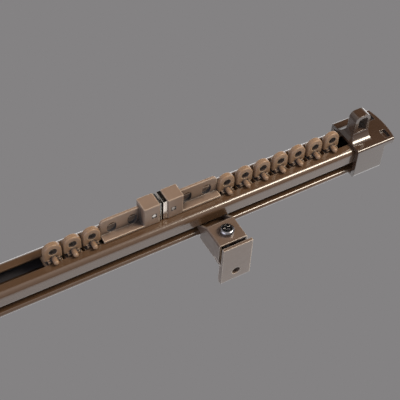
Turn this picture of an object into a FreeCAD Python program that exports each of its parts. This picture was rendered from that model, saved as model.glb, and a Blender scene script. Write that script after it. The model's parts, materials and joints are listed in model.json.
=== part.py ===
import FreeCAD, Part
import math
import os
import re
import Sketcher

# Curtain track: a roll-formed steel rail with end caps, sliding hook runners, a pair of
# magnet carriages that meet in the middle, and two clamp brackets that hold it to a wall.
# Millimetres. +X runs along the rail, +Y points to the wall, +Z is up.
# The origin lies on the wall, midway between the two wall screws.

doc = FreeCAD.newDocument("curtain_track")

# Driving dimensions: alias, millimetres, meaning.
DIMENSIONS = [
    ("rail_length", 354, "rail, end to end"),
    ("rail_width", 19.2, "rail, outside"),
    ("rail_height", 16.8, "rail, slot face to top of head"),
    ("rail_sheet", 0.8, "rail sheet thickness"),
    ("slot_width", 7, "slot that the runners hang through"),
    ("channel_height", 8.7, "outside height of the running channel"),
    ("channel_bend", 2.8, "outside radius of the channel's lower bends"),
    ("shelf_bend", 1, "outside radius of the channel's upper bends"),
    ("neck_width", 8.4, "outside width of the neck under the head"),
    ("head_thickness", 3.2, "thickness of the folded head"),
    ("wall_distance", 33, "wall to the middle of the rail"),
    ("screw_height", 23.5, "wall screw above the slot face"),
    ("bracket_spacing", 150, "between the two brackets"),
    ("bracket_sheet", 1.6, "bracket sheet thickness"),
    ("bracket_width", 16.8, "wall plate width"),
    ("wall_plate_rise", 7.2, "wall plate above its screw"),
    ("wall_plate_drop", 20, "wall plate below its screw"),
    ("wall_hole", 4.6, "wall screw hole"),
    ("bracket_bend", 1.4, "outside bend radius of the bracket strip"),
    ("hook_overlap", 2.8, "how far a hook reaches under the head"),
    ("shoulder_length", 3.6, "wide end of the strip that the clamp bears on"),
    ("clamp_width", 16.1, "clamp, outside"),
    ("clamp_sheet", 1, "clamp sheet thickness"),
    ("clamp_depth", 12.1, "clamp plate below the bracket strip"),
    ("clamp_nose", 15, "clamp plate's room-side edge from the middle of the rail"),
    ("clamp_tail", 28.4, "clamp's wall-side edge from the middle of the rail"),
    ("clamp_hook_height", 2.2, "height of the clamp's hook"),
    ("screw_offset", 21.7, "clamp screw from the middle of the rail"),
    ("screw_diameter", 4, "clamp screw over its thread"),
    ("screw_core", 3.3, "clamp screw under its thread"),
    ("screw_length", 16, "clamp screw under its head"),
    ("screw_head", 7.6, "clamp screw head across"),
    ("screw_head_height", 2.8, "clamp screw head height"),
    ("recess_length", 4.2, "cross recess, arm to arm"),
    ("recess_width", 0.9, "cross recess arm width"),
    ("recess_depth", 1.3, "cross recess depth"),
    ("cap_grip", 16, "length of rail inside a cap"),
    ("cap_wall", 2.6, "cap side wall"),
    ("cap_floor", 1.8, "cap wall under the rail"),
    ("cap_roof", 1.5, "cap wall over the rail"),
    ("cap_end_wall", 1.8, "cap wall past the rail's end"),
    ("cap_corner", 2.6, "cap's upper corner radius"),
    ("cap_edge", 1.2, "cap's lower corner radius"),
    ("lip_length", 5.4, "cap lip past its end face, at its corners"),
    ("lip_bow", 2, "bow of the cap lip's end"),
    ("lip_thickness", 3.4, "cap lip thickness"),
    ("lip_recess_depth", 1.4, "depth of the two hollows in the cap lip"),
    ("lip_recess_width", 5.5, "width of each hollow in the cap lip"),
    ("lip_recess_length", 3.4, "length of each hollow in the cap lip"),
    ("loop_setback", 2.3, "cap's hook loop from the cap's mouth"),
    ("loop_length", 9.6, "cap's hook loop, along the rail"),
    ("loop_width", 6, "cap's hook loop, across the rail"),
    ("loop_height", 15.5, "cap's hook loop below the cap"),
    ("loop_flare", 5.5, "radius of the spreading foot of the loop"),
    ("loop_post", 2.2, "loop's post beside the cap's mouth"),
    ("loop_opening", 5.8, "width of the loop's opening"),
    ("loop_sill", 4.6, "foot of the loop's opening below the cap"),
    ("loop_crown", 2, "material below the loop's opening"),
    ("loop_bend", 3.4, "rounded outer corners of the loop"),
    ("opening_bend", 1.8, "rounded corners of the loop's opening"),
    ("ring_radius", 4.6, "rounded end of a runner's plate"),
    ("ring_hole", 4.4, "hook hole in a runner's plate"),
    ("ring_drop", 5.7, "hook hole below the slot face"),
    ("ring_thickness", 3, "runner's plate, across the rail"),
    ("ring_round", 0.6, "rounded edge of a runner's plate"),
    ("stem_length", 6, "runner's stem, along the rail"),
    ("arm_diameter", 2.6, "runner's steadying arm"),
    ("arm_reach", 6.1, "runner's steadying arm from the middle of the rail"),
    ("arm_drop", 1.75, "arm's middle below the slot face"),
    ("stem_foot", 0.95, "runner's stem below the slot face"),
    ("shoe_length", 8.6, "runner's shoe inside the channel"),
    ("shoe_height", 4, "height of every shoe"),
    ("shoe_round", 1.2, "rounded corners of every shoe"),
    ("right_pitch", 10.75, "between the runners on the right"),
    ("left_pitch", 10.1, "between the runners on the left"),
    ("runner_gap", 0.5, "between a carriage and its first runner"),
    ("meeting_setback", 128.8, "where the magnet and its keeper meet, from the rail's right end"),
    ("meeting_gap", 0.8, "air between the magnet and its keeper"),
    ("carriage_length", 30.2, "carriage body, along the rail"),
    ("block_length", 8.8, "carriage block, along the rail"),
    ("block_width", 8.7, "carriage block, across the rail"),
    ("block_height", 13.1, "carriage block below the slot face"),
    ("web_thickness", 1.6, "carriage web"),
    ("web_height", 11.5, "carriage web below the slot face"),
    ("web_corner", 2.6, "rounded corner of the carriage web"),
    ("web_hole", 5, "width of the hook holes in the carriage web"),
    ("web_hole_height", 6.4, "height of the hook holes in the carriage web"),
    ("web_hole_drop", 5, "hook holes below the slot face"),
    ("web_hole_start", 13, "first hook hole from the block's face"),
    ("web_hole_step", 11.2, "between the two hook holes"),
    ("ledge_thickness", 1.3, "ledge at the carriage's foot"),
    ("block_round", 0.7, "rounded upright edges of the carriage block"),
    ("moulded_round", 0.35, "rounded edges of the block's lower end, the web and the ledge"),
    ("magnet_thickness", 2.4, "magnet slab"),
    ("keeper_thickness", 1.1, "steel keeper plate"),
    ("face_width", 7.8, "magnet and keeper, across the rail"),
    ("face_height", 12.2, "magnet and keeper height"),
    ("face_round", 0.25, "rounded edges of the magnet and keeper"),
    ("tang_length", 5.4, "tang that holds a magnet or keeper in its block"),
    ("tang_width", 2.6, "tang, across the rail"),
    ("tang_height", 5, "tang height"),
    ("pin_diameter", 2.2, "cross pin through block and tang"),
    ("pin_depth", 3.2, "cross pin from the block's face"),
    ("pin_drop", 6.1, "cross pin below the slot face"),
    ("pin_sink", 0.2, "cross pin end below the block's side"),
    ("seat_gap", 0.15, "fit between fixed pieces"),
    ("run_gap", 0.4, "running clearance above and below the slot lips"),
    ("side_gap", 1.6, "running clearance at a shoe's sides"),
    ("slot_gap", 0.5, "running clearance of a stem in the slot"),
]

sheet = doc.addObject("Spreadsheet::Sheet", "dims")
for row, (alias, size, meaning) in enumerate(DIMENSIONS, start=1):
    sheet.set(f"A{row}", meaning)
    sheet.set(f"B{row}", str(size))
    sheet.setAlias(f"B{row}", alias)
doc.recompute()


ALIASES = {alias for alias, _, _ in DIMENSIONS}


def sized(text):
    """Turn words such as 'rail_width / 2' into an expression on the sheet's cells."""
    return re.sub("[a-z_]+", lambda word: f"dims.{word[0]}" if word[0] in ALIASES else word[0], text)


def number(text):
    return float(sheet.evalExpression(sized(text)))


def add_body(label):
    body = doc.addObject("PartDesign::Body", label)
    body.Label = label
    return body


def place(body, x, y, z):
    """Put a body's own origin at a point of the track, given as expressions."""
    for axis, text in zip("xyz", (x, y, z)):
        body.setExpression(f"Placement.Base.{axis}", sized(text))


def origin_plane(body, role):
    return next(plane for plane in body.Origin.OriginFeatures if plane.Role == role)


def add_sketch(body, name, role, offset="0"):
    """A sketch on one of the body's own planes, moved along the plane's normal by offset."""
    sketch = body.newObject("Sketcher::SketchObject", name)
    sketch.AttachmentSupport = [(origin_plane(body, role), "")]
    sketch.MapMode = "FlatFace"
    sketch.setExpression("AttachmentOffset.Base.z", sized(offset))
    return sketch


def bind(sketch, kind, targets, text):
    """Add one dimension to a sketch and bind it to the sheet."""
    index = sketch.addConstraint(Sketcher.Constraint(kind, *targets, number(text)))
    sketch.setExpression(f"Constraints[{index}]", sized(text))


def arc_between(start, end, radius, turn):
    """The arc from start to end that turns left (turn 1) or right (turn -1)."""
    chord = end - start
    rise = math.sqrt(max(radius ** 2 - (chord.Length / 2) ** 2, 0))
    across = FreeCAD.Vector(-chord.y, chord.x, 0).normalize()
    centre = (start + end) * 0.5 + across * rise * turn
    angles = [math.atan2(point.y - centre.y, point.x - centre.x) for point in (start, end)]
    if turn < 0:
        angles.reverse()
    circle = Part.Circle(centre, FreeCAD.Vector(0, 0, 1), radius)
    return Part.ArcOfCircle(circle, *angles)


def outline(sketch, points):
    """Draw a closed outline. A point is (across, up), or (across, up, radius, turn) where
    the stretch that leaves it is an arc that turns left (1) or right (-1)."""
    first = sketch.GeometryCount
    count = len(points)
    corners = [FreeCAD.Vector(number(point[0]), number(point[1]), 0) for point in points]
    ends = []
    for index, point in enumerate(points):
        start = corners[index]
        end = corners[(index + 1) % count]
        if len(point) == 2:
            sketch.addGeometry(Part.LineSegment(start, end), False)
            ends.append((1, 2))
        else:
            turn = point[3]
            sketch.addGeometry(arc_between(start, end, number(point[2]), turn), False)
            ends.append((1, 2) if turn > 0 else (2, 1))
    for index, point in enumerate(points):
        edge = first + index
        following = (index + 1) % count
        joined = (edge, ends[index][1], first + following, ends[following][0])
        sketch.addConstraint(Sketcher.Constraint("Coincident", *joined))
        bind(sketch, "DistanceX", (-1, 1, edge, ends[index][0]), point[0])
        bind(sketch, "DistanceY", (-1, 1, edge, ends[index][0]), point[1])
        if len(point) == 4:
            bind(sketch, "Radius", (edge,), point[2])


def rectangle(sketch, left, right, bottom, top):
    outline(sketch, [(left, bottom), (right, bottom), (right, top), (left, top)])


def circle(sketch, across, up, diameter):
    centre = FreeCAD.Vector(number(across), number(up), 0)
    radius = number(diameter) / 2
    edge = sketch.addGeometry(Part.Circle(centre, FreeCAD.Vector(0, 0, 1), radius), False)
    bind(sketch, "DistanceX", (-1, 1, edge, 3), across)
    bind(sketch, "DistanceY", (-1, 1, edge, 3), up)
    bind(sketch, "Diameter", (edge,), diameter)


def volume(body):
    return 0 if body.Shape.isNull() else body.Shape.Volume


def extrude(body, kind, sketch, length, midplane=False, reverse=False):
    """Pad or pocket a sketch. A pocket has to take material away."""
    before = volume(body)
    feature = body.newObject(f"PartDesign::{kind}", f"{sketch.Name}_{kind.lower()}")
    feature.Profile = sketch
    feature.setExpression("Length", sized(length))
    feature.Midplane = midplane
    feature.Reversed = reverse
    doc.recompute()
    changed = volume(body) - before
    if (kind == "Pocket") != (changed < 0):
        raise RuntimeError(f"{feature.Label} changed the volume by {changed:.3f}")
    return feature


def pad(body, sketch, length, midplane=False, reverse=False):
    return extrude(body, "Pad", sketch, length, midplane, reverse)


def pocket(body, sketch, length, midplane=False, reverse=False):
    return extrude(body, "Pocket", sketch, length, midplane, reverse)


def fillet(body, name, radius, wanted):
    """Round the edges of the body that the test wanted(edge) picks."""
    base = body.Tip
    names = [f"Edge{index}" for index, edge in enumerate(base.Shape.Edges, start=1) if wanted(edge)]
    feature = body.newObject("PartDesign::Fillet", name)
    feature.Base = (base, names)
    feature.setExpression("Radius", sized(radius))
    doc.recompute()
    return feature


def near(first, second):
    return abs(first - second) < 1e-4


def runs_along(edge, axis):
    """True for a straight edge along x, y or z."""
    size = [edge.BoundBox.XLength, edge.BoundBox.YLength, edge.BoundBox.ZLength]
    long = size.pop("xyz".index(axis))
    return long > 1e-3 and max(size) < 1e-4


SLOT_FACE = "-screw_height"
MEETING_PLACE = "(rail_length / 2 - meeting_setback)"
RAIL_MIDDLE = "-wall_distance"
CHANNEL_FLOOR = "(rail_sheet + run_gap)"
SHOE_WIDTH = "(rail_width - 2 * rail_sheet - 2 * side_gap)"
STEM_WIDTH = "(slot_width - 2 * slot_gap)"
HEAD_UNDERSIDE = "(rail_height - head_thickness)"


def make_rail():
    """Half of the folded section, padded and mirrored across the middle of the rail."""
    body = add_body("rail")
    edge = "rail_width / 2"
    inner_edge = "rail_width / 2 - rail_sheet"
    hem = "head_thickness / 2"
    inner_hem = "head_thickness / 2 - rail_sheet"
    sketch = add_sketch(body, "rail_section", "YZ_Plane")
    outline(sketch, [
        ("slot_width / 2", "0"),
        (f"{edge} - channel_bend", "0", "channel_bend", 1),
        (edge, "channel_bend"),
        (edge, "channel_height - shelf_bend", "shelf_bend", 1),
        (f"{edge} - shelf_bend", "channel_height"),
        ("neck_width / 2", "channel_height"),
        ("neck_width / 2", HEAD_UNDERSIDE),
        (f"{edge} - {hem}", HEAD_UNDERSIDE, hem, 1),
        (edge, f"rail_height - {hem}", hem, 1),
        (f"{edge} - {hem}", "rail_height"),
        ("0", "rail_height"),
        ("0", "rail_height - rail_sheet"),
        (f"{edge} - {hem}", "rail_height - rail_sheet", inner_hem, -1),
        (inner_edge, f"rail_height - {hem}", inner_hem, -1),
        (f"{edge} - {hem}", f"{HEAD_UNDERSIDE} + rail_sheet"),
        ("neck_width / 2 - rail_sheet", f"{HEAD_UNDERSIDE} + rail_sheet"),
        ("neck_width / 2 - rail_sheet", "channel_height - rail_sheet"),
        (inner_edge, "channel_height - rail_sheet"),
        (inner_edge, "channel_bend", "channel_bend - rail_sheet", -1),
        (f"{edge} - channel_bend", "rail_sheet"),
        ("slot_width / 2", "rail_sheet"),
    ])
    half = pad(body, sketch, "rail_length", midplane=True)
    mirror = body.newObject("PartDesign::Mirrored", "rail_other_half")
    mirror.Originals = [half]
    mirror.MirrorPlane = (origin_plane(body, "XZ_Plane"), [""])
    body.Tip = mirror
    place(body, "0", RAIL_MIDDLE, SLOT_FACE)
    return body


def make_cap(label, side):
    """An end cap for the right (side 1) or left (side -1) end. Its own origin is at the
    rail's end, in the middle of the slot face."""
    body = add_body(label)
    toward_right = side > 0
    half = "(rail_width / 2 + seat_gap + cap_wall)"
    floor = "(-seat_gap - cap_floor)"
    roof = "(rail_height + seat_gap + cap_roof)"
    mouth = f"{side} * (-cap_grip)"

    shell = add_sketch(body, f"{label}_shell", "YZ_Plane", mouth)
    outline(shell, [
        (f"-{half} + cap_edge", floor),
        (f"{half} - cap_edge", floor, "cap_edge", 1),
        (half, f"{floor} + cap_edge"),
        (half, f"{roof} - cap_corner", "cap_corner", 1),
        (f"{half} - cap_corner", roof),
        (f"-{half} + cap_corner", roof, "cap_corner", 1),
        (f"-{half}", f"{roof} - cap_corner"),
        (f"-{half}", f"{floor} + cap_edge", "cap_edge", 1),
    ])
    pad(body, shell, "cap_grip + cap_end_wall", reverse=not toward_right)

    cavity = add_sketch(body, f"{label}_cavity", "YZ_Plane", mouth)
    rectangle(cavity, "-rail_width / 2 - seat_gap", "rail_width / 2 + seat_gap",
              "-seat_gap", "rail_height + seat_gap")
    pocket(body, cavity, "cap_grip + seat_gap", reverse=toward_right)

    lip = add_sketch(body, f"{label}_lip", "YZ_Plane", f"{side} * seat_gap")
    outline(lip, [
        (f"-{half} + cap_edge", floor),
        (f"{half} - cap_edge", floor, "cap_edge", 1),
        (half, f"{floor} + cap_edge"),
        (half, f"{floor} + lip_thickness"),
        (f"-{half}", f"{floor} + lip_thickness"),
        (f"-{half}", f"{floor} + cap_edge", "cap_edge", 1),
    ])
    pad(body, lip, "cap_end_wall + lip_length + lip_bow", reverse=not toward_right)

    end = f"{side} * (cap_end_wall + lip_length)"
    past_end = f"{side} * (cap_end_wall + lip_length + 2 * lip_bow)"
    reach = f"({half} + cap_edge)"
    bow = f"(({reach} ^ 2 + lip_bow ^ 2) / (2 * lip_bow))"
    trim = add_sketch(body, f"{label}_trim", "XY_Plane", floor)
    outline(trim, [
        (end, f"-{reach}", bow, side),
        (end, reach),
        (past_end, reach),
        (past_end, f"-{reach}"),
    ])
    pocket(body, trim, "4 * lip_thickness", midplane=True)

    hollows = add_sketch(body, f"{label}_hollows", "XY_Plane", floor)
    far = f"{side} * (cap_end_wall + lip_length - cap_edge / 2)"
    close = f"{side} * (cap_end_wall + lip_length - cap_edge / 2 - lip_recess_length)"
    for flank in (-1, 1):
        outer = f"{flank} * ({half} - 2 * cap_edge)"
        inner = f"{flank} * ({half} - 2 * cap_edge - lip_recess_width)"
        rectangle(hollows, close, far, outer, inner)
    pocket(body, hollows, "lip_recess_depth", reverse=True)

    level = f"({floor} - loop_flare)"
    tip = f"({floor} - loop_height)"
    root = f"({floor} + cap_floor / 2)"
    foot = add_sketch(body, f"{label}_foot", "YZ_Plane", mouth)
    outline(foot, [
        ("-loop_width / 2 - loop_flare", root),
        ("-loop_width / 2 - loop_flare", floor, "loop_flare", -1),
        ("-loop_width / 2", level),
        ("loop_width / 2", level, "loop_flare", -1),
        ("loop_width / 2 + loop_flare", floor),
        ("loop_width / 2 + loop_flare", root),
    ])
    pad(body, foot, "loop_setback + loop_length", reverse=not toward_right)

    near_side = f"{side} * (loop_setback - cap_grip)"
    sweep = "((loop_setback ^ 2 + loop_flare ^ 2) / (2 * loop_setback))"
    cove = add_sketch(body, f"{label}_cove", "XZ_Plane")
    outline(cove, [
        (mouth, floor, sweep, -side),
        (near_side, level),
        (mouth, level),
    ])
    pocket(body, cove, "2 * rail_width", midplane=True)

    far_side = f"{side} * (loop_setback + loop_length - cap_grip)"
    loop = add_sketch(body, f"{label}_loop", "XZ_Plane")
    outline(loop, [
        (near_side, root),
        (near_side, f"{tip} + loop_bend", "loop_bend", side),
        (f"{near_side} + {side} * loop_bend", tip),
        (f"{far_side} - {side} * loop_bend", tip, "loop_bend", side),
        (far_side, f"{tip} + loop_bend"),
        (far_side, root),
    ])
    pad(body, loop, "loop_width", midplane=True)

    post = f"{side} * (loop_setback + loop_post - cap_grip)"
    gap_end = f"{side} * (loop_setback + loop_post + loop_opening - cap_grip)"
    gap_tip = f"({tip} + loop_crown)"
    opening = add_sketch(body, f"{label}_opening", "XZ_Plane")
    outline(opening, [
        (post, f"{floor} - loop_sill"),
        (post, f"{gap_tip} + opening_bend", "opening_bend", side),
        (f"{post} + {side} * opening_bend", gap_tip),
        (f"{gap_end} - {side} * opening_bend", gap_tip, "opening_bend", side),
        (gap_end, f"{gap_tip} + opening_bend"),
        (gap_end, f"{floor} - loop_sill"),
    ])
    pocket(body, opening, "2 * rail_width", midplane=True)
    place(body, f"{side} * rail_length / 2", RAIL_MIDDLE, SLOT_FACE)
    return body


STRIP_UNDERSIDE = "(rail_height + seat_gap)"
STRIP_TOP = "(rail_height + seat_gap + bracket_sheet)"
CLAMP_UNDERSIDE = f"({STRIP_UNDERSIDE} - clamp_depth)"
HOOK_TIP = "(rail_width / 2 - hook_overlap)"


def make_bracket_base(label, across):
    """The folded strip: a hook behind the rail's head, the arm over it, and a leg that
    turns up at the wall and doubles back down as the wall plate."""
    body = add_body(label)
    wall_face = "wall_distance"
    leg_front = "(wall_distance - 2 * bracket_sheet)"
    hook_back = "(-rail_width / 2 - seat_gap)"
    hook_level = f"({HEAD_UNDERSIDE} - seat_gap)"
    strip_width = "(clamp_width - 2 * clamp_sheet - 2 * seat_gap)"

    strip = add_sketch(body, f"{label}_strip", "YZ_Plane")
    outline(strip, [
        (f"-{HOOK_TIP}", f"{hook_level} - bracket_sheet"),
        (f"-{HOOK_TIP}", hook_level),
        (hook_back, hook_level),
        (hook_back, STRIP_UNDERSIDE),
        (f"{leg_front} + bracket_sheet", STRIP_UNDERSIDE),
        (f"{leg_front} + bracket_sheet", STRIP_TOP),
        (f"{hook_back} - bracket_sheet + bracket_bend", STRIP_TOP, "bracket_bend", 1),
        (f"{hook_back} - bracket_sheet", f"{STRIP_TOP} - bracket_bend"),
        (f"{hook_back} - bracket_sheet", f"{hook_level} - bracket_sheet + bracket_bend", "bracket_bend", 1),
        (f"{hook_back} - bracket_sheet + bracket_bend", f"{hook_level} - bracket_sheet"),
    ])
    pad(body, strip, strip_width, midplane=True)

    shoulder = add_sketch(body, f"{label}_shoulder", "YZ_Plane")
    rectangle(shoulder, "clamp_tail - shoulder_length", f"{leg_front} + bracket_sheet",
              STRIP_UNDERSIDE, STRIP_TOP)
    pad(body, shoulder, "clamp_width", midplane=True)

    leg_top = "(screw_height + wall_plate_rise)"
    leg = add_sketch(body, f"{label}_leg", "YZ_Plane")
    outline(leg, [
        (f"{wall_face} - bracket_sheet", "screw_height - wall_plate_drop"),
        (wall_face, "screw_height - wall_plate_drop"),
        (wall_face, f"{leg_top} - bracket_sheet", "bracket_sheet", 1),
        (f"{wall_face} - bracket_sheet", leg_top, "bracket_sheet", 1),
        (leg_front, f"{leg_top} - bracket_sheet"),
        (leg_front, f"{STRIP_UNDERSIDE} + bracket_bend", "bracket_bend", 1),
        (f"{leg_front} + bracket_bend", STRIP_UNDERSIDE),
        (f"{wall_face} - bracket_sheet", STRIP_UNDERSIDE),
    ])
    pad(body, leg, "bracket_width", midplane=True)

    wall_hole = add_sketch(body, f"{label}_wall_hole", "XZ_Plane")
    circle(wall_hole, "0", "screw_height", "wall_hole")
    pocket(body, wall_hole, "wall_distance + bracket_sheet")

    thread_hole = add_sketch(body, f"{label}_thread_hole", "XY_Plane", f"{STRIP_TOP} + bracket_sheet")
    circle(thread_hole, "0", "screw_offset", "screw_diameter + seat_gap")
    pocket(body, thread_hole, "3 * bracket_sheet")
    place(body, across, RAIL_MIDDLE, SLOT_FACE)
    return body


def make_clamp(label, across):
    """A pressed channel below the strip, open at its wall end. Its side walls hook under the
    rail's head and bear on the strip's shoulders when the screw pulls it up."""
    body = add_body(label)
    hook_level = f"({HEAD_UNDERSIDE} - seat_gap)"
    hook_edge = "(rail_width / 2 + 2 * seat_gap)"
    wall_top = f"({STRIP_TOP} - seat_gap)"

    side = add_sketch(body, f"{label}_side", "YZ_Plane")
    outline(side, [
        (HOOK_TIP, f"{hook_level} - clamp_hook_height"),
        ("clamp_nose", CLAMP_UNDERSIDE),
        ("clamp_tail", CLAMP_UNDERSIDE),
        ("clamp_tail", wall_top),
        (hook_edge, wall_top),
        (hook_edge, hook_level),
        (HOOK_TIP, hook_level),
    ])
    pad(body, side, "clamp_width", midplane=True)

    inside = add_sketch(body, f"{label}_inside", "YZ_Plane")
    inner_floor = f"({CLAMP_UNDERSIDE} + clamp_sheet)"
    rectangle(inside, "0", "clamp_tail + clamp_sheet", inner_floor, f"{STRIP_TOP} + bracket_sheet")
    pocket(body, inside, "clamp_width - 2 * clamp_sheet", midplane=True)

    notch = add_sketch(body, f"{label}_notch", "YZ_Plane")
    rectangle(notch, "clamp_tail - shoulder_length - 2 * seat_gap", "clamp_tail + clamp_sheet",
              f"{STRIP_UNDERSIDE} - seat_gap", f"{STRIP_TOP} + bracket_sheet")
    pocket(body, notch, "2 * clamp_width", midplane=True)

    hole = add_sketch(body, f"{label}_hole", "XY_Plane", f"{CLAMP_UNDERSIDE} + 2 * clamp_sheet")
    circle(hole, "0", "screw_offset", "screw_diameter + 2 * seat_gap")
    pocket(body, hole, "4 * clamp_sheet")
    fold = number(CLAMP_UNDERSIDE)
    fillet(body, f"{label}_folds", "clamp_sheet",
           lambda edge: runs_along(edge, "y") and near(edge.CenterOfMass.z, fold))
    place(body, across, RAIL_MIDDLE, SLOT_FACE)
    return body


def make_clamp_screw(label, across):
    """Pan-head screw, driven from below through the clamp into the strip."""
    body = add_body(label)
    head = add_sketch(body, f"{label}_head", "XY_Plane", CLAMP_UNDERSIDE)
    circle(head, "0", "screw_offset", "screw_head")
    pad(body, head, "screw_head_height", reverse=True)
    bottom = number(f"{CLAMP_UNDERSIDE} - screw_head_height")
    fillet(body, f"{label}_dome", "screw_head_height / 2",
           lambda edge: near(edge.BoundBox.ZMin, bottom) and near(edge.BoundBox.ZMax, bottom))

    thread = add_sketch(body, f"{label}_thread", "XY_Plane", f"{CLAMP_UNDERSIDE} - screw_head_height / 2")
    circle(thread, "0", "screw_offset", "screw_core")
    pad(body, thread, "screw_length + screw_head_height / 2")

    recess = add_sketch(body, f"{label}_recess", "XY_Plane", f"{CLAMP_UNDERSIDE} - screw_head_height")
    arm = "recess_length / 2"
    waist = "recess_width / 2"
    outline(recess, [
        (f"-{arm}", f"screw_offset - {waist}"),
        (f"-{waist}", f"screw_offset - {waist}"),
        (f"-{waist}", f"screw_offset - {arm}"),
        (waist, f"screw_offset - {arm}"),
        (waist, f"screw_offset - {waist}"),
        (arm, f"screw_offset - {waist}"),
        (arm, f"screw_offset + {waist}"),
        (waist, f"screw_offset + {waist}"),
        (waist, f"screw_offset + {arm}"),
        (f"-{waist}", f"screw_offset + {arm}"),
        (f"-{waist}", f"screw_offset + {waist}"),
        (f"-{arm}", f"screw_offset + {waist}"),
    ])
    pocket(body, recess, "recess_depth", reverse=True)
    place(body, across, RAIL_MIDDLE, SLOT_FACE)
    return body


def add_shoe(body, label, left, right):
    """The shoe that slides inside the channel, from left to right along the rail."""
    shoe = add_sketch(body, f"{label}_shoe", "XY_Plane", CHANNEL_FLOOR)
    rectangle(shoe, left, right, f"-{SHOE_WIDTH} / 2", f"{SHOE_WIDTH} / 2")
    pad(body, shoe, "shoe_height")
    fillet(body, f"{label}_shoe_corners", "shoe_round", lambda edge: runs_along(edge, "z"))


def make_runner(label, across):
    """One moulded runner: shoe, stem, steadying arms and a plate with its hook hole."""
    body = add_body(label)
    add_shoe(body, label, "-shoe_length / 2", "shoe_length / 2")

    stem = add_sketch(body, f"{label}_stem", "XY_Plane", "-stem_foot")
    rectangle(stem, "-stem_length / 2", "stem_length / 2", f"-{STEM_WIDTH} / 2", f"{STEM_WIDTH} / 2")
    pad(body, stem, f"{CHANNEL_FLOOR} + stem_foot + shoe_height / 2")

    foot = "(-stem_foot / 2 - run_gap / 2)"
    plate = add_sketch(body, f"{label}_plate", "XZ_Plane")
    outline(plate, [
        ("-ring_radius", foot),
        ("-ring_radius", "-ring_drop", "ring_radius", 1),
        ("0", "-ring_drop - ring_radius", "ring_radius", 1),
        ("ring_radius", "-ring_drop"),
        ("ring_radius", foot),
    ])
    pad(body, plate, "ring_thickness", midplane=True)
    face = number("ring_thickness / 2")
    level = number(foot)
    fillet(body, f"{label}_plate_edges", "ring_round",
           lambda edge: near(abs(edge.CenterOfMass.y), face) and edge.BoundBox.ZMin < level - 1e-3)

    arms = add_sketch(body, f"{label}_arms", "XZ_Plane")
    circle(arms, "0", "-arm_drop", "arm_diameter")
    pad(body, arms, "2 * arm_reach", midplane=True)
    reach = number("arm_reach")
    fillet(body, f"{label}_arm_ends", "arm_diameter * 0.45",
           lambda edge: near(abs(edge.CenterOfMass.y), reach))

    hole = add_sketch(body, f"{label}_hole", "XZ_Plane")
    circle(hole, "0", "-ring_drop", "ring_hole")
    pocket(body, hole, "2 * ring_thickness", midplane=True)
    place(body, across, RAIL_MIDDLE, SLOT_FACE)
    return body


def make_carriage(label, side, face_thickness):
    """A moulded magnet carriage, to the right (side 1) or left (side -1) of the meeting
    place: a block behind the magnet or keeper, a web with hook holes, and a ledge."""
    body = add_body(label)
    face = f"(meeting_gap / 2 + {face_thickness})"

    def along(text):
        return f"{side} * ({face} + {text})"

    block_edge = "block_width / 2"
    add_shoe(body, label, along("shoe_round"), along("(carriage_length - shoe_round)"))

    stem = add_sketch(body, f"{label}_stem", "XY_Plane", "-run_gap - ledge_thickness / 2")
    rectangle(stem, along("2 * shoe_round"), along("(carriage_length - 2 * shoe_round)"),
              f"-{STEM_WIDTH} / 2", f"{STEM_WIDTH} / 2")
    pad(body, stem, f"{CHANNEL_FLOOR} + run_gap + ledge_thickness / 2 + shoe_height / 2")

    ledge = add_sketch(body, f"{label}_ledge", "XY_Plane", "-run_gap")
    rectangle(ledge, along("0"), along("carriage_length"), f"-{block_edge}", block_edge)
    pad(body, ledge, "ledge_thickness", reverse=True)

    block = add_sketch(body, f"{label}_block", "XY_Plane", "-run_gap")
    rectangle(block, along("0"), along("block_length"), f"-{block_edge}", block_edge)
    pad(body, block, "block_height - run_gap", reverse=True)
    block_foot = number("-block_height")
    fillet(body, f"{label}_block_corners", "block_round",
           lambda edge: runs_along(edge, "z") and near(edge.BoundBox.ZMin, block_foot))
    fillet(body, f"{label}_block_foot", "moulded_round",
           lambda edge: near(edge.BoundBox.ZMin, block_foot) and near(edge.BoundBox.ZMax, block_foot))

    web = add_sketch(body, f"{label}_web", "XZ_Plane")
    outline(web, [
        (along("block_length / 2"), "-run_gap"),
        (along("carriage_length"), "-run_gap"),
        (along("carriage_length"), "-web_height + web_corner", "web_corner", -side),
        (along("(carriage_length - web_corner)"), "-web_height"),
        (along("block_length / 2"), "-web_height"),
    ])
    pad(body, web, "web_thickness")
    web_foot = number("-web_height")
    fillet(body, f"{label}_web_rim", "moulded_round",
           lambda edge: runs_along(edge, "x") and near(edge.CenterOfMass.z, web_foot))

    holes = add_sketch(body, f"{label}_holes", "XZ_Plane", "-web_thickness")
    bend = "web_hole / 2"
    low = "-web_hole_drop - web_hole_height / 2"
    high = "-web_hole_drop + web_hole_height / 2"
    for step in (0, 1):
        middle = f"(web_hole_start + {step} * web_hole_step)"
        outline(holes, [
            (along(f"({middle} - {bend})"), f"{low} + {bend}"),
            (along(f"({middle} - {bend})"), f"{high} - {bend}", bend, -side),
            (along(middle), high, bend, -side),
            (along(f"({middle} + {bend})"), f"{high} - {bend}"),
            (along(f"({middle} + {bend})"), f"{low} + {bend}", bend, -side),
            (along(middle), low, bend, -side),
        ])
    pocket(body, holes, "4 * web_thickness", midplane=True)

    mortise = add_sketch(body, f"{label}_mortise", "YZ_Plane", along("0"))
    rectangle(mortise, "-tang_width / 2 - seat_gap", "tang_width / 2 + seat_gap",
              "-pin_drop - tang_height / 2 - seat_gap", "-pin_drop + tang_height / 2 + seat_gap")
    pocket(body, mortise, "tang_length + seat_gap", reverse=side > 0)

    pin_hole = add_sketch(body, f"{label}_pin_hole", "XZ_Plane")
    circle(pin_hole, along("pin_depth"), "-pin_drop", "pin_diameter + seat_gap / 2")
    pocket(body, pin_hole, "2 * block_width", midplane=True)
    place(body, MEETING_PLACE, RAIL_MIDDLE, SLOT_FACE)
    return body


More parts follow.
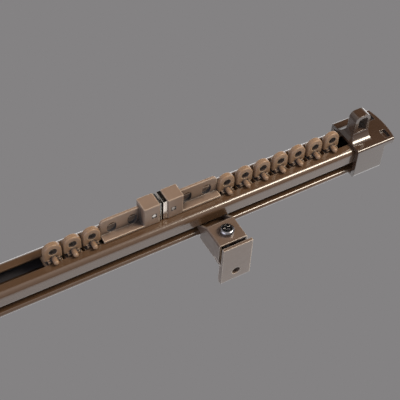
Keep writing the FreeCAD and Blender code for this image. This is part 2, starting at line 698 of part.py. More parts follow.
def make_face(label, side, face_thickness):
    """The magnet slab or the steel keeper: a flat face with a tang pinned into its block."""
    body = add_body(label)
    front = f"{side} * meeting_gap / 2"
    back = f"{side} * (meeting_gap / 2 + {face_thickness})"
    top = "(-run_gap - (block_height - run_gap - face_height) / 2)"

    slab = add_sketch(body, f"{label}_slab", "YZ_Plane", front)
    rectangle(slab, "-face_width / 2", "face_width / 2", f"{top} - face_height", top)
    pad(body, slab, face_thickness, reverse=side < 0)
    fillet(body, f"{label}_edges", "face_round", lambda edge: not runs_along(edge, "x"))

    tang = add_sketch(body, f"{label}_tang", "YZ_Plane", back)
    rectangle(tang, "-tang_width / 2", "tang_width / 2",
              "-pin_drop - tang_height / 2", "-pin_drop + tang_height / 2")
    pad(body, tang, "tang_length", reverse=side < 0)

    pin_hole = add_sketch(body, f"{label}_pin_hole", "XZ_Plane")
    circle(pin_hole, f"{side} * (meeting_gap / 2 + {face_thickness} + pin_depth)", "-pin_drop",
           "pin_diameter + seat_gap / 2")
    pocket(body, pin_hole, "2 * tang_width", midplane=True)
    place(body, MEETING_PLACE, RAIL_MIDDLE, SLOT_FACE)
    return body


def make_pin(label, side, face_thickness):
    """Cross pin through a carriage block and the tang inside it."""
    body = add_body(label)
    pin = add_sketch(body, f"{label}_section", "XZ_Plane")
    circle(pin, f"{side} * (meeting_gap / 2 + {face_thickness} + pin_depth)", "-pin_drop", "pin_diameter")
    pad(body, pin, "block_width - 2 * pin_sink", midplane=True)
    place(body, MEETING_PLACE, RAIL_MIDDLE, SLOT_FACE)
    return body


def first_runner(side, face_thickness):
    """Where the runner next to a carriage stands."""
    reach = f"(meeting_gap / 2 + {face_thickness} + carriage_length + runner_gap + ring_radius)"
    return f"{MEETING_PLACE} + {side} * {reach}"


RIGHT_RUNNERS = 7
LEFT_RUNNERS = 3

parts = [
    make_rail(),
    make_cap("end_cap_right", 1),
    make_cap("end_cap_left", -1),
]
for name, side in (("right", 1), ("left", -1)):
    across = f"{side} * bracket_spacing / 2"
    parts.append(make_bracket_base(f"bracket_{name}", across))
    parts.append(make_clamp(f"rail_clamp_{name}", across))
    parts.append(make_clamp_screw(f"clamp_screw_{name}", across))

parts += [
    make_carriage("carriage_right", 1, "magnet_thickness"),
    make_face("magnet", 1, "magnet_thickness"),
    make_pin("magnet_pin", 1, "magnet_thickness"),
    make_carriage("carriage_left", -1, "keeper_thickness"),
    make_face("keeper_plate", -1, "keeper_thickness"),
    make_pin("keeper_pin", -1, "keeper_thickness"),
]
for index in range(RIGHT_RUNNERS):
    across = f"{first_runner(1, 'magnet_thickness')} + {index} * right_pitch"
    parts.append(make_runner(f"runner_right_{index + 1}", across))
for index in range(LEFT_RUNNERS):
    across = f"{first_runner(-1, 'keeper_thickness')} - {index} * left_pitch"
    parts.append(make_runner(f"runner_left_{index + 1}", across))

doc.recompute()
for item in doc.Objects:
    if "Invalid" in item.State or "Error" in item.State:
        raise RuntimeError(f"{item.Label} failed: {item.State}")
for body in parts:
    if body.Shape.isNull() or not body.Shape.isValid() or len(body.Shape.Solids) != 1:
        raise RuntimeError(f"{body.Label} is not one valid solid")

os.makedirs("parts", exist_ok=True)
for body in parts:
    body.Shape.exportStep(f"parts/{body.Label}.step")
    box = body.Shape.BoundBox
    print(f"{body.Label}: volume {body.Shape.Volume:.1f}, x {box.XMin:.2f} to {box.XMax:.2f}, "
          f"y {box.YMin:.2f} to {box.YMax:.2f}, z {box.ZMin:.2f} to {box.ZMax:.2f}")
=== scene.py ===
# %% [markdown]
# # A curtain track
# This lesson dresses a small wall-mounted curtain track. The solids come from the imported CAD
# model, in metres, in one shared frame: the rail runs along X, the wall is on the +Y side and
# Z is up. Blender adds the finishes, the fine threads and mould lines, the light and the camera.

# %% Load the fixed frame
import json
import math

import bpy
from mathutils import Matrix, Vector


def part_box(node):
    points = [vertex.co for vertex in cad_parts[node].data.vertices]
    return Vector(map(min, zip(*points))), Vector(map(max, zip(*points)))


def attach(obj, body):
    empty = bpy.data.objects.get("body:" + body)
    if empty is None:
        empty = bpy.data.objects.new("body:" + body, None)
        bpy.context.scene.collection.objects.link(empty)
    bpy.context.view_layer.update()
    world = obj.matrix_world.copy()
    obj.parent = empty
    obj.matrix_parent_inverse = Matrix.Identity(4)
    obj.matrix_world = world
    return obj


MM = 0.001
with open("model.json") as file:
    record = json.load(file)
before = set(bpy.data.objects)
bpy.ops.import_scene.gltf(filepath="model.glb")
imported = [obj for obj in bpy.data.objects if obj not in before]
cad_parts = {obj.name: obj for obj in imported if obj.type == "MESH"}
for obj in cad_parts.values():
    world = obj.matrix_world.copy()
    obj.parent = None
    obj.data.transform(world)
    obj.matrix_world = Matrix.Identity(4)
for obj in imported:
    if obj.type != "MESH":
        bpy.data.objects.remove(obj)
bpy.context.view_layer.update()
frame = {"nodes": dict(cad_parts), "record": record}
nodes = frame["nodes"]

# %% [markdown]
# ## Small helpers
# Colours are easiest to pick as sRGB hex values, but shaders work in linear light, so one
# function converts them. A second function adds a node to any tree, shader or geometry: a link
# is made where a socket is given, and a plain value is set where a number is given. Nodes could
# also be laid by hand in the editor, but a script can be read from top to bottom.

# %% Helpers for colours and nodes
def linear(hex_colour):
    channels = [int(hex_colour[start:start + 2], 16) / 255 for start in (1, 3, 5)]
    low = [value / 12.92 for value in channels]
    high = [((value + 0.055) / 1.055) ** 2.4 for value in channels]
    picked = [a if value <= 0.04045 else b for value, a, b in zip(channels, low, high)]
    return (*picked, 1.0)


def add_node(tree, kind, inputs=None, **settings):
    node = tree.nodes.new(kind)
    for name, value in settings.items():
        setattr(node, name, value)
    for name, value in (inputs or {}).items():
        socket = node.inputs[name]
        if isinstance(value, bpy.types.NodeSocket):
            tree.links.new(value, socket)
        else:
            socket.default_value = value
    return node


def per_mm(size):
    """Scale of a texture whose features are this many millimetres across."""
    return 1 / (size * MM)


print("brown in linear light:", [round(value, 3) for value in linear("#584231")])

# %% [markdown]
# ## Masks by position
# Some places are known by where they are: the inside of the rail's channel, the hook holes of a
# carriage, the rims of its pins. A painted mask could mark them, but it would need a picture. A
# few plain boxes in millimetres do the same: a point is inside a box when none of its distances
# from the middle is more than half the box's size.

# %% A mask of boxes
def box_mask(tree, place, boxes):
    """One inside any of the boxes, each a middle and half sizes in millimetres, and zero outside."""
    mask = 0.0
    for middle, half in boxes:
        away = add_node(tree, "ShaderNodeVectorMath", {0: place, 1: Vector(middle) * MM},
                        operation="SUBTRACT").outputs["Vector"]
        share = add_node(tree, "ShaderNodeVectorMath", {0: away, 1: Vector(half) * MM},
                         operation="DIVIDE").outputs["Vector"]
        far = add_node(tree, "ShaderNodeVectorMath", {0: share}, operation="ABSOLUTE").outputs["Vector"]
        axes = add_node(tree, "ShaderNodeSeparateXYZ", {"Vector": far}).outputs
        level = add_node(tree, "ShaderNodeMath", {0: axes["X"], 1: axes["Y"]},
                         operation="MAXIMUM").outputs["Value"]
        most = add_node(tree, "ShaderNodeMath", {0: level, 1: axes["Z"]},
                        operation="MAXIMUM").outputs["Value"]
        within = add_node(tree, "ShaderNodeMath", {0: most, 1: 1.0},
                          operation="LESS_THAN").outputs["Value"]
        mask = add_node(tree, "ShaderNodeMath", {0: mask, 1: within},
                        operation="MAXIMUM").outputs["Value"]
    return mask


# %% [markdown]
# ## The frame of every finish
# A moulded or painted surface is never one flat colour: the tone drifts over a few centimetres,
# the gloss varies with handling, and a fine grain breaks up the reflections. Real edges are also
# never sharp. They could be bevelled in the mesh, but the CAD solids stay as they are, so a Bevel
# node rounds the shading of each edge by a fraction of a millimetre. Comparing it with the true
# normal finds the edges, which are painted pale: partly wear, partly a painted highlight. An
# Ambient Occlusion node finds the hollows, corners and holes, and they are painted dark and matt
# as painted shade. One function builds this frame, and each material then names its own values.

# %% One function for the procedural finishes
# The dark tone of the painted shade in hollows, holes and named boxes, how dark the boxes go, and how
# matt the painted shade makes the gloss.
PAINTED_SHADE_TONE = "#16161C"
INSIDE_PAINTED_SHADE = 0.96
SHADED_MATT = 0.85
DULL_START, DULL_END = 0.7, 0.9
EDGE_START, EDGE_END = 0.995, 0.90
EDGE_SAMPLES = 6
SHELTER_SAMPLES = 8
RUB_LOW, RUB_HIGH = 0.3, 0.7
RUB_MARKS_PER_DRIFT = 4
# The colour sockets of a Mix node go by number, because its number sockets have the same names.
MIX_A, MIX_B, MIX_RESULT = 6, 7, 2


def make_finish(name, tones, wear_and_highlight_tone, drift_mm, grain_mm, grain_height_mm, gloss, stretch=(1, 1, 1),
                edge_mm=0.25, wear_and_highlight=0.5, shade_reach_mm=3, painted_shade=0.7, shelter=(0.85, 0.35), inside=(), no_wear_or_highlight=(),
                sockets=None):
    material = bpy.data.materials.new(name)
    material.use_nodes = True
    tree = material.node_tree
    tree.nodes.clear()
    place = add_node(tree, "ShaderNodeTexCoord").outputs["Object"]
    drawn = add_node(tree, "ShaderNodeMapping", {"Vector": place, "Scale": stretch}).outputs["Vector"]
    drift = add_node(tree, "ShaderNodeTexNoise", {
        "Vector": drawn, "Scale": per_mm(drift_mm), "Detail": 3.0})
    tone = add_node(tree, "ShaderNodeMix", {
        "Factor": drift.outputs["Fac"], MIX_A: linear(tones[0]), MIX_B: linear(tones[1])},
        data_type="RGBA")

    # Pale edges, partly wear and partly a painted highlight: where the rounded normal leaves the true
    # one.
    bevel = add_node(tree, "ShaderNodeBevel", {"Radius": edge_mm * MM}, samples=EDGE_SAMPLES)
    rounded = bevel.outputs["Normal"]
    facing = add_node(tree, "ShaderNodeNewGeometry").outputs["Normal"]
    likeness = add_node(tree, "ShaderNodeVectorMath", {0: rounded, 1: facing}, operation="DOT_PRODUCT")
    wear_and_highlight_mask = add_node(tree, "ShaderNodeMapRange", {
        "Value": likeness.outputs["Value"], "From Min": EDGE_START, "From Max": EDGE_END,
        "To Min": 0.0, "To Max": wear_and_highlight}).outputs["Result"]
    if no_wear_or_highlight:
        wear_and_highlight_mask = add_node(tree, "ShaderNodeMath", {0: wear_and_highlight_mask, 1: box_mask(tree, place, no_wear_or_highlight)},
                          operation="SUBTRACT", use_clamp=True).outputs["Value"]
    colour = add_node(tree, "ShaderNodeMix", {
        "Factor": wear_and_highlight_mask, MIX_A: tone.outputs[MIX_RESULT], MIX_B: linear(wear_and_highlight_tone)},
        data_type="RGBA")

    # Painted shade: darker where the surface is sheltered, and in the boxes that are named.
    openness = add_node(tree, "ShaderNodeAmbientOcclusion", {"Distance": shade_reach_mm * MM},
                        samples=SHELTER_SAMPLES, only_local=True)
    painted_shade_mask = add_node(tree, "ShaderNodeMapRange", {
        "Value": openness.outputs["AO"], "From Min": shelter[0], "From Max": shelter[1],
        "To Min": 0.0, "To Max": painted_shade}).outputs["Result"]
    if inside:
        heavy = add_node(tree, "ShaderNodeMath", {0: box_mask(tree, place, inside), 1: INSIDE_PAINTED_SHADE},
                         operation="MULTIPLY").outputs["Value"]
        painted_shade_mask = add_node(tree, "ShaderNodeMath", {0: painted_shade_mask, 1: heavy}, operation="MAXIMUM").outputs["Value"]
    shaded_colour = add_node(tree, "ShaderNodeMix", {
        "Factor": painted_shade_mask, MIX_A: colour.outputs[MIX_RESULT], MIX_B: linear(PAINTED_SHADE_TONE)},
        data_type="RGBA")

    # Gloss: rub marks vary it, and it goes matt where the painted shade is heavy.
    rub = add_node(tree, "ShaderNodeTexNoise", {
        "Vector": drawn, "Scale": per_mm(drift_mm / RUB_MARKS_PER_DRIFT), "Detail": 4.0})
    roughness = add_node(tree, "ShaderNodeMapRange", {
        "Value": rub.outputs["Fac"], "From Min": RUB_LOW, "From Max": RUB_HIGH,
        "To Min": gloss[0], "To Max": gloss[1]})
    dulled = add_node(tree, "ShaderNodeMapRange", {
        "Value": painted_shade_mask, "From Min": DULL_START, "From Max": DULL_END,
        "To Min": roughness.outputs["Result"], "To Max": SHADED_MATT})

    # Grain: a fine bump, drawn coarser than on the real surface, so that it shows at all.
    grain = add_node(tree, "ShaderNodeTexNoise", {
        "Vector": drawn, "Scale": per_mm(grain_mm), "Detail": 2.0})
    bump = add_node(tree, "ShaderNodeBump", {
        "Height": grain.outputs["Fac"], "Distance": grain_height_mm * MM, "Strength": 1.0,
        "Normal": rounded})
    surface = add_node(tree, "ShaderNodeBsdfPrincipled", {
        "Base Color": shaded_colour.outputs[MIX_RESULT], "Roughness": dulled.outputs["Result"],
        "Normal": bump.outputs["Normal"], **(sockets or {})})
    add_node(tree, "ShaderNodeOutputMaterial", {"Surface": surface.outputs["BSDF"]})
    print("finish:", name)
    return material


# %% [markdown]
# ## The rail and the bracket: baked enamel on steel
# Both are cold-formed steel sheet with a brown baked enamel. A brown metal could be tried, but
# its highlights would turn brown too. Enamel is a dielectric, so its base is not metallic, and a
# clear coat on top gives the sharp white lines along the bends. The rail came through forming
# rolls, so its marks are drawn out along X by a Mapping node, and the inside of its channel is
# painted nearly black as painted shade. The bracket and clamp were pressed and are a little paler
# and more satin, with their edges painted pale, partly as worn paint and partly as a painted highlight.

# %% Enamel finishes
# The inside of the rail's channel, painted nearly black as painted shade, as a middle and half sizes, in
# millimetres in the shared frame.
CHANNEL = ((0, -33, -18.88), (200, 8.7, 3.68))

# Deep brown gloss: long soft streaks along the rail, and a slot painted dark as painted shade.
rail_enamel = make_finish(
    "brown_enamel_rolled_steel", ("#523D2C", "#4A3626"), "#7A6552", drift_mm=40, grain_mm=0.9,
    grain_height_mm=0.004, gloss=(0.20, 0.30), stretch=(0.08, 1, 1), edge_mm=0.3, wear_and_highlight=0.25,
    painted_shade=0.0, inside=[CHANNEL],
    sockets={"Coat Weight": 0.8, "Coat Roughness": 0.08})
# Paler satin brown: broad soft highlights, light lines on the pressed edges that are partly worn paint
# and partly a painted highlight, and hollows painted darker as painted shade.
bracket_enamel = make_finish(
    "brown_enamel_pressed_steel", ("#655449", "#5A4A40"), "#CDBFB2", drift_mm=14, grain_mm=0.7,
    grain_height_mm=0.006, gloss=(0.30, 0.42), edge_mm=0.7, wear_and_highlight=0.8, shade_reach_mm=8, shelter=(0.7, 0.25),
    sockets={"Coat Weight": 0.5, "Coat Roughness": 0.12})

# %% [markdown]
# ## The plastics
# The end caps are gloss ABS: dark, smooth, with bright reflections. The runners and carriages
# are acetal, the slippery plastic of gliders: it is a little waxy, so light enters it and edges
# look soft, and its gloss is satin. Clear plastic with scattering inside could show that too, but
# a little subsurface light is enough for walls this thick. The carriages are a greyer brown than
# the runners. Their hook holes, the rims of their cross pins and the runners' eyes are painted
# dark as painted shade.

# %% Plastic finishes
# Places on the two carriages at rest, in millimetres in the shared frame: the middles of each
# pair of hook holes and of the cross pins along the rail, and their places across and below it.
HOLE_PAIRS = (28.1, 69.6)
PINS = (43.5, 54.2)
WEB_Y, HOLE_Z = -33.8, -28.5
BLOCK_Y, PIN_Z = -33, -29.6
HOLE_WALLS = (8.4, 0.7, 3.3)
HOLE_RIMS = (9.0, 1.0, 4.0)
PIN_RIM = (1.35, 5, 1.35)
# The hole walls and the pin rims are painted dark as painted shade, and the hole rims get no pale edge.
hole_insides = [((x, WEB_Y, HOLE_Z), HOLE_WALLS) for x in HOLE_PAIRS]
hole_rims = [((x, WEB_Y, HOLE_Z), HOLE_RIMS) for x in HOLE_PAIRS]
pin_rims = [((x, BLOCK_Y, PIN_Z), PIN_RIM) for x in PINS]
WAX_DEPTH = (0.4 * MM, 0.25 * MM, 0.15 * MM)

# Dark gloss: crisp white reflections on a nearly black brown, and hollows painted darker as painted
# shade.
cap_abs = make_finish(
    "dark_brown_gloss_abs", ("#44342A", "#3B2C23"), "#655246", drift_mm=12, grain_mm=0.5,
    grain_height_mm=0.002, gloss=(0.14, 0.22), edge_mm=0.6, wear_and_highlight=0.35, shade_reach_mm=5, shelter=(0.7, 0.25),
    sockets={"Coat Weight": 0.7, "Coat Roughness": 0.05, "IOR": 1.54})
# Waxy tan: soft pale edges, partly wear and partly a painted highlight, and eyes painted dark as painted
# shade.
runner_acetal = make_finish(
    "tan_moulded_acetal", ("#8E745F", "#7B614A"), "#CBB297", drift_mm=6, grain_mm=0.35,
    grain_height_mm=0.003, gloss=(0.30, 0.42), edge_mm=0.5, wear_and_highlight=0.7, shade_reach_mm=8, painted_shade=0.95,
    shelter=(0.74, 0.52),
    sockets={"Subsurface Weight": 0.08, "Subsurface Radius": WAX_DEPTH, "IOR": 1.48})
# Greyer and flatter: pale edges, partly wear and partly a painted highlight, round broad quiet faces.
carriage_acetal = make_finish(
    "grey_brown_moulded_acetal", ("#826E60", "#746154"), "#CDBBAA", drift_mm=9, grain_mm=0.4,
    grain_height_mm=0.003, gloss=(0.32, 0.44), edge_mm=0.8, wear_and_highlight=0.85, shade_reach_mm=8, painted_shade=0.88,
    shelter=(0.82, 0.42), inside=hole_insides + pin_rims, no_wear_or_highlight=hole_rims,
    sockets={"Subsurface Weight": 0.05, "Subsurface Radius": WAX_DEPTH, "IOR": 1.48})

# %% [markdown]
# ## The bare metals
# The magnet is nickel plated, the keeper is zinc plated, the cross pins are bright drawn steel
# and the clamp screw is black chrome. One grey metal could serve them all, but side by side their
# tones tell them apart, so each has its own. On a metal the base colour is the colour of its
# reflections, and the IOR keeps its default. Fine rub marks vary the roughness.

# %% Metal finishes
BARE_METAL = {"Metallic": 1.0}

# Nickel: a warm, nearly white mirror.
magnet_nickel = make_finish(
    "nickel_plate", ("#E4DAD0", "#D6CCC2"), "#F0E9E2", drift_mm=3, grain_mm=0.2,
    grain_height_mm=0.001, gloss=(0.12, 0.24), edge_mm=0.25, wear_and_highlight=0.4, sockets=BARE_METAL)
# Zinc: a duller grey, darkened as painted shade for its recessed front, and bright only on its edges,
# which are painted pale, partly as wear and partly as a painted highlight.
keeper_zinc = make_finish(
    "zinc_plated_steel", ("#8E8B87", "#7C7975"), "#E6E2DD", drift_mm=3, grain_mm=0.2,
    grain_height_mm=0.0015, gloss=(0.20, 0.34), edge_mm=0.6, wear_and_highlight=0.6, sockets=BARE_METAL)
# Drawn steel: small pale dots in the brown blocks.
pin_steel = make_finish(
    "bright_drawn_steel", ("#E2DED8", "#D2CDC6"), "#F0ECE6", drift_mm=2, grain_mm=0.15,
    grain_height_mm=0.001, gloss=(0.20, 0.32), edge_mm=0.2, wear_and_highlight=0.3, sockets=BARE_METAL)
# Black chrome: a dark mirror with hard sparks in the cross recess.
screw_chrome = make_finish(
    "black_chrome_plate", ("#908E92", "#7E7C80"), "#C8C5C2", drift_mm=2.5, grain_mm=0.25,
    grain_height_mm=0.001, gloss=(0.14, 0.26), edge_mm=0.25, wear_and_highlight=0.5, sockets=BARE_METAL)

# %% [markdown]
# ## Dress the solids
# The pieces could be modelled again here, but each CAD solid already has the right shape, so it
# stays, and only its material is exchanged. The record names a material slot for every node, and
# one table maps slots to finishes.

# %% Assign the finishes by slot
FINISHES = {
    "rail_steel": rail_enamel, "bracket_steel": bracket_enamel, "cap_plastic": cap_abs,
    "carriage_plastic": carriage_acetal, "runner_plastic": runner_acetal,
    "magnet_nickel": magnet_nickel, "keeper_steel": keeper_zinc, "pin_steel": pin_steel,
    "screw_steel": screw_chrome,
}
slot_of = {part["node"]: part["material_slot"] for part in frame["record"]["subparts"]}
for name, solid in nodes.items():
    for slot in solid.material_slots:
        slot.material = FINISHES[slot_of[name]]
print("dressed:", len(slot_of), "nodes with", len(set(slot_of.values())), "finishes")

# %% [markdown]
# ## Fine screw threads
# The clamp screw's shank shows between the clamp and the strip, and its end stands above the
# strip. A bump or a Screw modifier could draw the thread. Geometry Nodes are used because a thread
# is a ridge that follows a helix: they sweep a small four-sided profile along a Spiral, with the
# sizes as named inputs, so both screws share one tree. It ends in Realize Instances and Set
# Material, and the result is turned into a plain mesh for each screw, so nothing depends on a
# live modifier.

# %% Geometry Nodes helpers
def new_tree(name, sizes):
    tree = bpy.data.node_groups.new(name, "GeometryNodeTree")
    tree.interface.new_socket("Geometry", in_out="INPUT", socket_type="NodeSocketGeometry")
    tree.interface.new_socket("Geometry", in_out="OUTPUT", socket_type="NodeSocketGeometry")
    for label, (kind, value) in sizes.items():
        socket = tree.interface.new_socket(label, in_out="INPUT", socket_type=kind)
        socket.default_value = value
    return tree


def finish_tree(tree, geometry, material):
    solid = add_node(tree, "GeometryNodeRealizeInstances", {"Geometry": geometry})
    painted = add_node(tree, "GeometryNodeSetMaterial",
                       {"Geometry": solid.outputs["Geometry"], "Material": material})
    add_node(tree, "NodeGroupOutput", {"Geometry": painted.outputs["Geometry"]})


def grow(name, tree, values):
    """Run a tree on an empty mesh and keep the result as a plain mesh object."""
    seed = bpy.data.objects.new(name + "_seed", bpy.data.meshes.new(name + "_seed"))
    bpy.context.scene.collection.objects.link(seed)
    modifier = seed.modifiers.new("nodes", "NODES")
    modifier.node_group = tree
    for item in tree.interface.items_tree:
        if item.name in values:
            modifier[item.identifier] = values[item.name]
    seen = seed.evaluated_get(bpy.context.evaluated_depsgraph_get())
    mesh = bpy.data.meshes.new_from_object(seen)
    bpy.data.objects.remove(seed)
    piece = bpy.data.objects.new(name, mesh)
    bpy.context.scene.collection.objects.link(piece)
    return piece


# %% Thread tree
PITCH = 0.7 * MM
THREAD_RADIUS = 1.76 * MM
SHANK_LENGTH = 10 * MM
RIDGE_SHARE = 0.3
RIDGE_SIDES = 4
STEPS_PER_TURN = 24
thread_tree = new_tree("screw_thread", {
    "Radius": ("NodeSocketFloat", THREAD_RADIUS), "Pitch": ("NodeSocketFloat", PITCH),
    "Length": ("NodeSocketFloat", SHANK_LENGTH), "Start": ("NodeSocketVector", (0, 0, 0))})
given = add_node(thread_tree, "NodeGroupInput").outputs
turns = add_node(thread_tree, "ShaderNodeMath", {0: given["Length"], 1: given["Pitch"]},
                 operation="DIVIDE")
helix = add_node(thread_tree, "GeometryNodeCurveSpiral", {
    "Resolution": STEPS_PER_TURN, "Rotations": turns.outputs["Value"],
    "Start Radius": given["Radius"], "End Radius": given["Radius"], "Height": given["Length"]})
ridge = add_node(thread_tree, "ShaderNodeMath", {0: given["Pitch"], 1: RIDGE_SHARE},
                 operation="MULTIPLY")
profile = add_node(thread_tree, "GeometryNodeCurvePrimitiveCircle",
                   {"Resolution": RIDGE_SIDES, "Radius": ridge.outputs["Value"]})
swept = add_node(thread_tree, "GeometryNodeCurveToMesh", {
    "Curve": helix.outputs["Curve"], "Profile Curve": profile.outputs["Curve"], "Fill Caps": True})
placed = add_node(thread_tree, "GeometryNodeTransform",
                  {"Geometry": swept.outputs["Mesh"], "Translation": given["Start"]})
finish_tree(thread_tree, placed.outputs["Geometry"], screw_chrome)
print("thread tree:", len(thread_tree.nodes), "nodes")

# %% One thread for each clamp screw
# The thread begins just above the clamp's plate, so the head stays smooth.
PLATE_CLEAR = 1.5 * MM
for side in ("right", "left"):
    low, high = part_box(f"clamp_screw_{side}")
    clamp_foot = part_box(f"rail_clamp_{side}")[0].z
    middle = (low + high) / 2
    start = clamp_foot + PLATE_CLEAR
    thread = grow(f"clamp_screw_thread_{side}", thread_tree, {
        "Radius": THREAD_RADIUS, "Pitch": PITCH, "Length": high.z - start - PITCH,
        "Start": (middle.x, middle.y, start + PITCH / 2)})
    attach(thread, "track")
    print(thread.name, len(thread.data.polygons), "faces")

# %% [markdown]
# ## Mould lines on the runners
# Every runner was moulded in two halves, and a faint raised line runs round the middle of its
# plate where the halves met. A bump could draw it, but the line follows the plate's outline, so a
# swept curve is simpler. It is the same line on each runner, so one tree makes it: a rectangle
# curve whose two lower corners are rounded by the full half width, swept with a tiny profile,
# stood up across the rail and placed by a named input.

# %% Mould line tree
PLATE_WIDTH = 9.2 * MM
PLATE_HEIGHT = 9.4 * MM
LINE_WIDTH = 0.16 * MM
# Just under a half, so that the two rounded corners don't meet in one point.
NEARLY_HALF = 0.4999
BEND_STEPS = 14
BEAD_SIDES = 6
line_tree = new_tree("mould_line", {
    "Plate Width": ("NodeSocketFloat", PLATE_WIDTH), "Plate Height": ("NodeSocketFloat", PLATE_HEIGHT),
    "Line Width": ("NodeSocketFloat", LINE_WIDTH), "Centre": ("NodeSocketVector", (0, 0, 0))})
given = add_node(line_tree, "NodeGroupInput").outputs
plate = add_node(line_tree, "GeometryNodeCurvePrimitiveQuadrilateral",
                 {"Width": given["Plate Width"], "Height": given["Plate Height"]})
spot = add_node(line_tree, "GeometryNodeInputPosition").outputs["Position"]
height = add_node(line_tree, "ShaderNodeSeparateXYZ", {"Vector": spot}).outputs["Y"]
lower = add_node(line_tree, "ShaderNodeMath", {0: height, 1: 0.0}, operation="LESS_THAN")
half_width = add_node(line_tree, "ShaderNodeMath", {0: given["Plate Width"], 1: NEARLY_HALF},
                      operation="MULTIPLY")
bend = add_node(line_tree, "ShaderNodeMath", {
    0: half_width.outputs["Value"], 1: lower.outputs["Value"]}, operation="MULTIPLY")
path = add_node(line_tree, "GeometryNodeFilletCurve", {
    "Curve": plate.outputs["Curve"], "Radius": bend.outputs["Value"], "Count": BEND_STEPS}, mode="POLY")
thin = add_node(line_tree, "ShaderNodeMath", {0: given["Line Width"], 1: 0.5}, operation="MULTIPLY")
bead = add_node(line_tree, "GeometryNodeCurvePrimitiveCircle",
                {"Resolution": BEAD_SIDES, "Radius": thin.outputs["Value"]})
swept = add_node(line_tree, "GeometryNodeCurveToMesh",
                 {"Curve": path.outputs["Curve"], "Profile Curve": bead.outputs["Curve"]})
stood = add_node(line_tree, "GeometryNodeTransform", {
    "Geometry": swept.outputs["Mesh"], "Rotation": (math.pi / 2, 0, 0), "Translation": given["Centre"]})
finish_tree(line_tree, stood.outputs["Geometry"], runner_acetal)
print("mould line tree:", len(line_tree.nodes), "nodes")

# %% One mould line for each runner
RUNNERS = {"right": 7, "left": 3}
for side, count in RUNNERS.items():
    for index in range(1, count + 1):
        low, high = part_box(f"runner_{side}_{index}")
        middle = (low + high) / 2
        line = grow(f"mould_line_{side}_{index}", line_tree, {
            "Plate Width": PLATE_WIDTH, "Plate Height": PLATE_HEIGHT,
            "Centre": (middle.x, middle.y, low.z + PLATE_HEIGHT / 2)})
        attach(line, f"{side}_runner_{index}")
print("mould line faces:", len(line.data.polygons))

# %% [markdown]
# ## The floor
# The track hangs in the air, so the pale floor lies well below it and reaches out to a level
# horizon. Little lamp light falls so far down. More light would make the floor pale, but it would
# fall on the track too, so the floor glows a little instead, and only for the camera, for
# reflections and through clear things.

# %% Floor
def flat_card(name, half_x, half_y, level=0.0):
    """A rectangle that faces up, for the floor and the black flag."""
    corners = [(-half_x, -half_y, level), (half_x, -half_y, level),
               (half_x, half_y, level), (-half_x, half_y, level)]
    mesh = bpy.data.meshes.new(name)
    mesh.from_pydata(corners, [], [(0, 1, 2, 3)])
    card = bpy.data.objects.new(name, mesh)
    bpy.context.scene.collection.objects.link(card)
    return card


def backdrop_rays(tree):
    """One for rays from the camera, off a gloss or through something clear, and zero for the rest."""
    ray = add_node(tree, "ShaderNodeLightPath").outputs
    shown = add_node(tree, "ShaderNodeMath", {0: ray["Is Camera Ray"], 1: ray["Is Glossy Ray"]},
                     operation="MAXIMUM").outputs["Value"]
    return add_node(tree, "ShaderNodeMath", {0: shown, 1: ray["Is Transmission Ray"]},
                    operation="MAXIMUM").outputs["Value"]


FLOOR_DROP = -1.1
REACH = 30.0
PALE = linear("#D8D6D4")
FLOOR_GLOW = 0.35
FLOOR_ROUGHNESS = 0.9
floor = flat_card("floor", REACH, REACH, FLOOR_DROP)
floor_paint = bpy.data.materials.new("pale_matt_floor")
floor_paint.use_nodes = True
floor_tree = floor_paint.node_tree
floor_tree.nodes.clear()
glow = add_node(floor_tree, "ShaderNodeMath", {0: backdrop_rays(floor_tree), 1: FLOOR_GLOW},
                operation="MULTIPLY")
floor_surface = add_node(floor_tree, "ShaderNodeBsdfPrincipled", {
    "Base Color": PALE, "Roughness": FLOOR_ROUGHNESS, "Emission Color": PALE,
    "Emission Strength": glow.outputs["Value"]})
add_node(floor_tree, "ShaderNodeOutputMaterial", {"Surface": floor_surface.outputs["BSDF"]})
floor.data.materials.append(floor_paint)
print("floor at", FLOOR_DROP, "m")

# %% [markdown]
# ## The backdrop
# The world does two jobs. To the camera, to reflections and through clear things it is a plain
# mid grey. To everything else it is a dim even fill, which keeps the shadows open. A wall behind
# the track could be the backdrop too, but it would throw its own light on it.

# %% World
BACKDROP = "#848283"
FILL = 0.3
world = bpy.data.worlds.new("studio")
bpy.context.scene.world = world
world.use_nodes = True
world_tree = world.node_tree
world_tree.nodes.clear()
fill = add_node(world_tree, "ShaderNodeBackground", {"Color": (1, 1, 1, 1), "Strength": FILL})
grey = add_node(world_tree, "ShaderNodeBackground", {"Color": linear(BACKDROP), "Strength": 1.0})
sky = add_node(world_tree, "ShaderNodeMixShader", {
    "Fac": backdrop_rays(world_tree), 1: fill.outputs["Background"], 2: grey.outputs["Background"]})
add_node(world_tree, "ShaderNodeOutputWorld", {"Surface": sky.outputs["Shader"]})
print("world: backdrop", BACKDROP, "fill", FILL)


# %% [markdown]
# ## The lamps
# A polished rail shows its lamps. A picture of a room could light it, but soft boxes can be placed
# one by one, where each is mirrored. The key lies below the rail and draws the white lines along
# its bends. A broad box above brings grey into the polished sides. One behind draws a thin light
# line on the far edge, one on the room side keeps that side from going black, and a cool one on
# the left opens the shadows of the runners.

# %% Soft boxes
def face_towards(thing, place, aim):
    """Put a lamp or card at a place, facing the aim, with its own X along the rail."""
    back = (Vector(place) - Vector(aim)).normalized()
    along = (Vector((1, 0, 0)) - back * back.x).normalized()
    turn = Matrix((along, back.cross(along), back)).transposed().to_4x4()
    thing.matrix_world = Matrix.Translation(place) @ turn
    thing.visible_camera = False


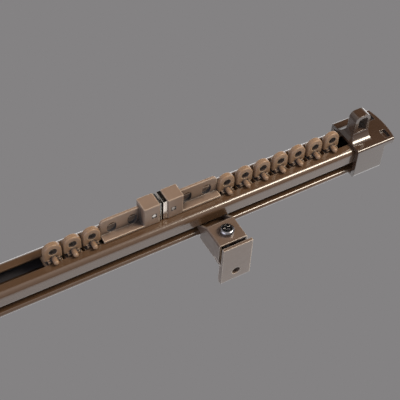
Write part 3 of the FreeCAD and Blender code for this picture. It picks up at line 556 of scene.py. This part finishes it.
def soft_box(name, place, aim, size, power, tint):
    light = bpy.data.lights.new(name, "AREA")
    light.shape = "RECTANGLE"
    light.size, light.size_y = size
    light.energy = power
    light.color = linear(tint)[:3]
    lamp = bpy.data.objects.new(name, light)
    bpy.context.scene.collection.objects.link(lamp)
    face_towards(lamp, place, aim)


# Places and sizes in metres, power in watts.
AIM = (0.10, -0.03, -0.02)
WHITE = "#FFFFFF"
WARM = "#FFF2DE"
COOL = "#E4E6F4"
soft_box("key_below", (0.689, 0.283, -0.812), AIM, (0.55, 0.32), 13.8, WARM)
soft_box("bounce_above", (0.53, 0.10, 0.25), (0.53, 0.10, 0.0), (1.1, 1.4), 4.1, WHITE)
soft_box("rim_behind", (0.70, -0.72, 0.26), (0.30, -0.03, -0.02), (2.0, 0.6), 4.6, WHITE)
soft_box("room_side", (0.0, -1.5, -0.15), (0.0, -0.03, -0.02), (2.4, 1.2), 4.5, WHITE)
soft_box("left_side", (-0.9, 0.2, -0.45), AIM, (0.9, 0.9), 7.0, COOL)

# %% [markdown]
# ## A black flag
# Photographers of shiny things also take light away. The flat faces beside the slot would mirror
# the grey room and look washed out. A darker enamel could hide that, but it would be wrong under
# other light, so a black card hangs where those faces would mirror the room. It is part of the
# studio, and the camera doesn't see it.

# %% A black flag below the slot side
FLAG_HALF_X, FLAG_HALF_Y = 0.30, 0.22
FLAG_PLACE = (0.29, -0.336, -0.445)
FLAG_BLACK = "#0E0E10"
flag = flat_card("black_flag", FLAG_HALF_X, FLAG_HALF_Y)
flag_cloth = bpy.data.materials.new("black_flag_cloth")
flag_cloth.use_nodes = True
cloth = flag_cloth.node_tree.nodes["Principled BSDF"].inputs
cloth["Base Color"].default_value = linear(FLAG_BLACK)
cloth["Roughness"].default_value = 1.0
cloth["Specular IOR Level"].default_value = 0.0
flag.data.materials.append(flag_cloth)
face_towards(flag, FLAG_PLACE, AIM)
print("flag at", [round(value, 3) for value in flag.matrix_world.translation])

# %% [markdown]
# ## The camera
# The photograph looks up at the slot side from the wall, with the track's upper side at the
# bottom of the picture. A camera could be placed by eye, but this one was fitted to the rail's
# straight edges: three axes and a place, and a focal length in pixels on a frame of 400.

# %% Camera
FOCAL_PIXELS = 962.7
FRAME_PIXELS = 400
SENSOR = 36.0
NEAR_CLIP = 0.01
CAMERA_PLACE = Vector((-97.51, 238.0, -388.5)) * MM
right = Vector((0.86977, 0.49198, -0.03803))
down = Vector((-0.34957, 0.66872, 0.65621))
forward = Vector((0.34828, -0.55746, 0.75362))
camera_data = bpy.data.cameras.new("camera")
camera_data.sensor_width = SENSOR
camera_data.lens = SENSOR * FOCAL_PIXELS / FRAME_PIXELS
camera_data.clip_start = NEAR_CLIP
camera = bpy.data.objects.new("camera", camera_data)
bpy.context.scene.collection.objects.link(camera)
turn = Matrix((right, -down, -forward)).transposed().to_4x4()
camera.matrix_world = Matrix.Translation(CAMERA_PLACE) @ turn
bpy.context.scene.camera = camera
bpy.context.scene.view_settings.view_transform = "Standard"
print("lens:", round(camera_data.lens, 2), "mm")
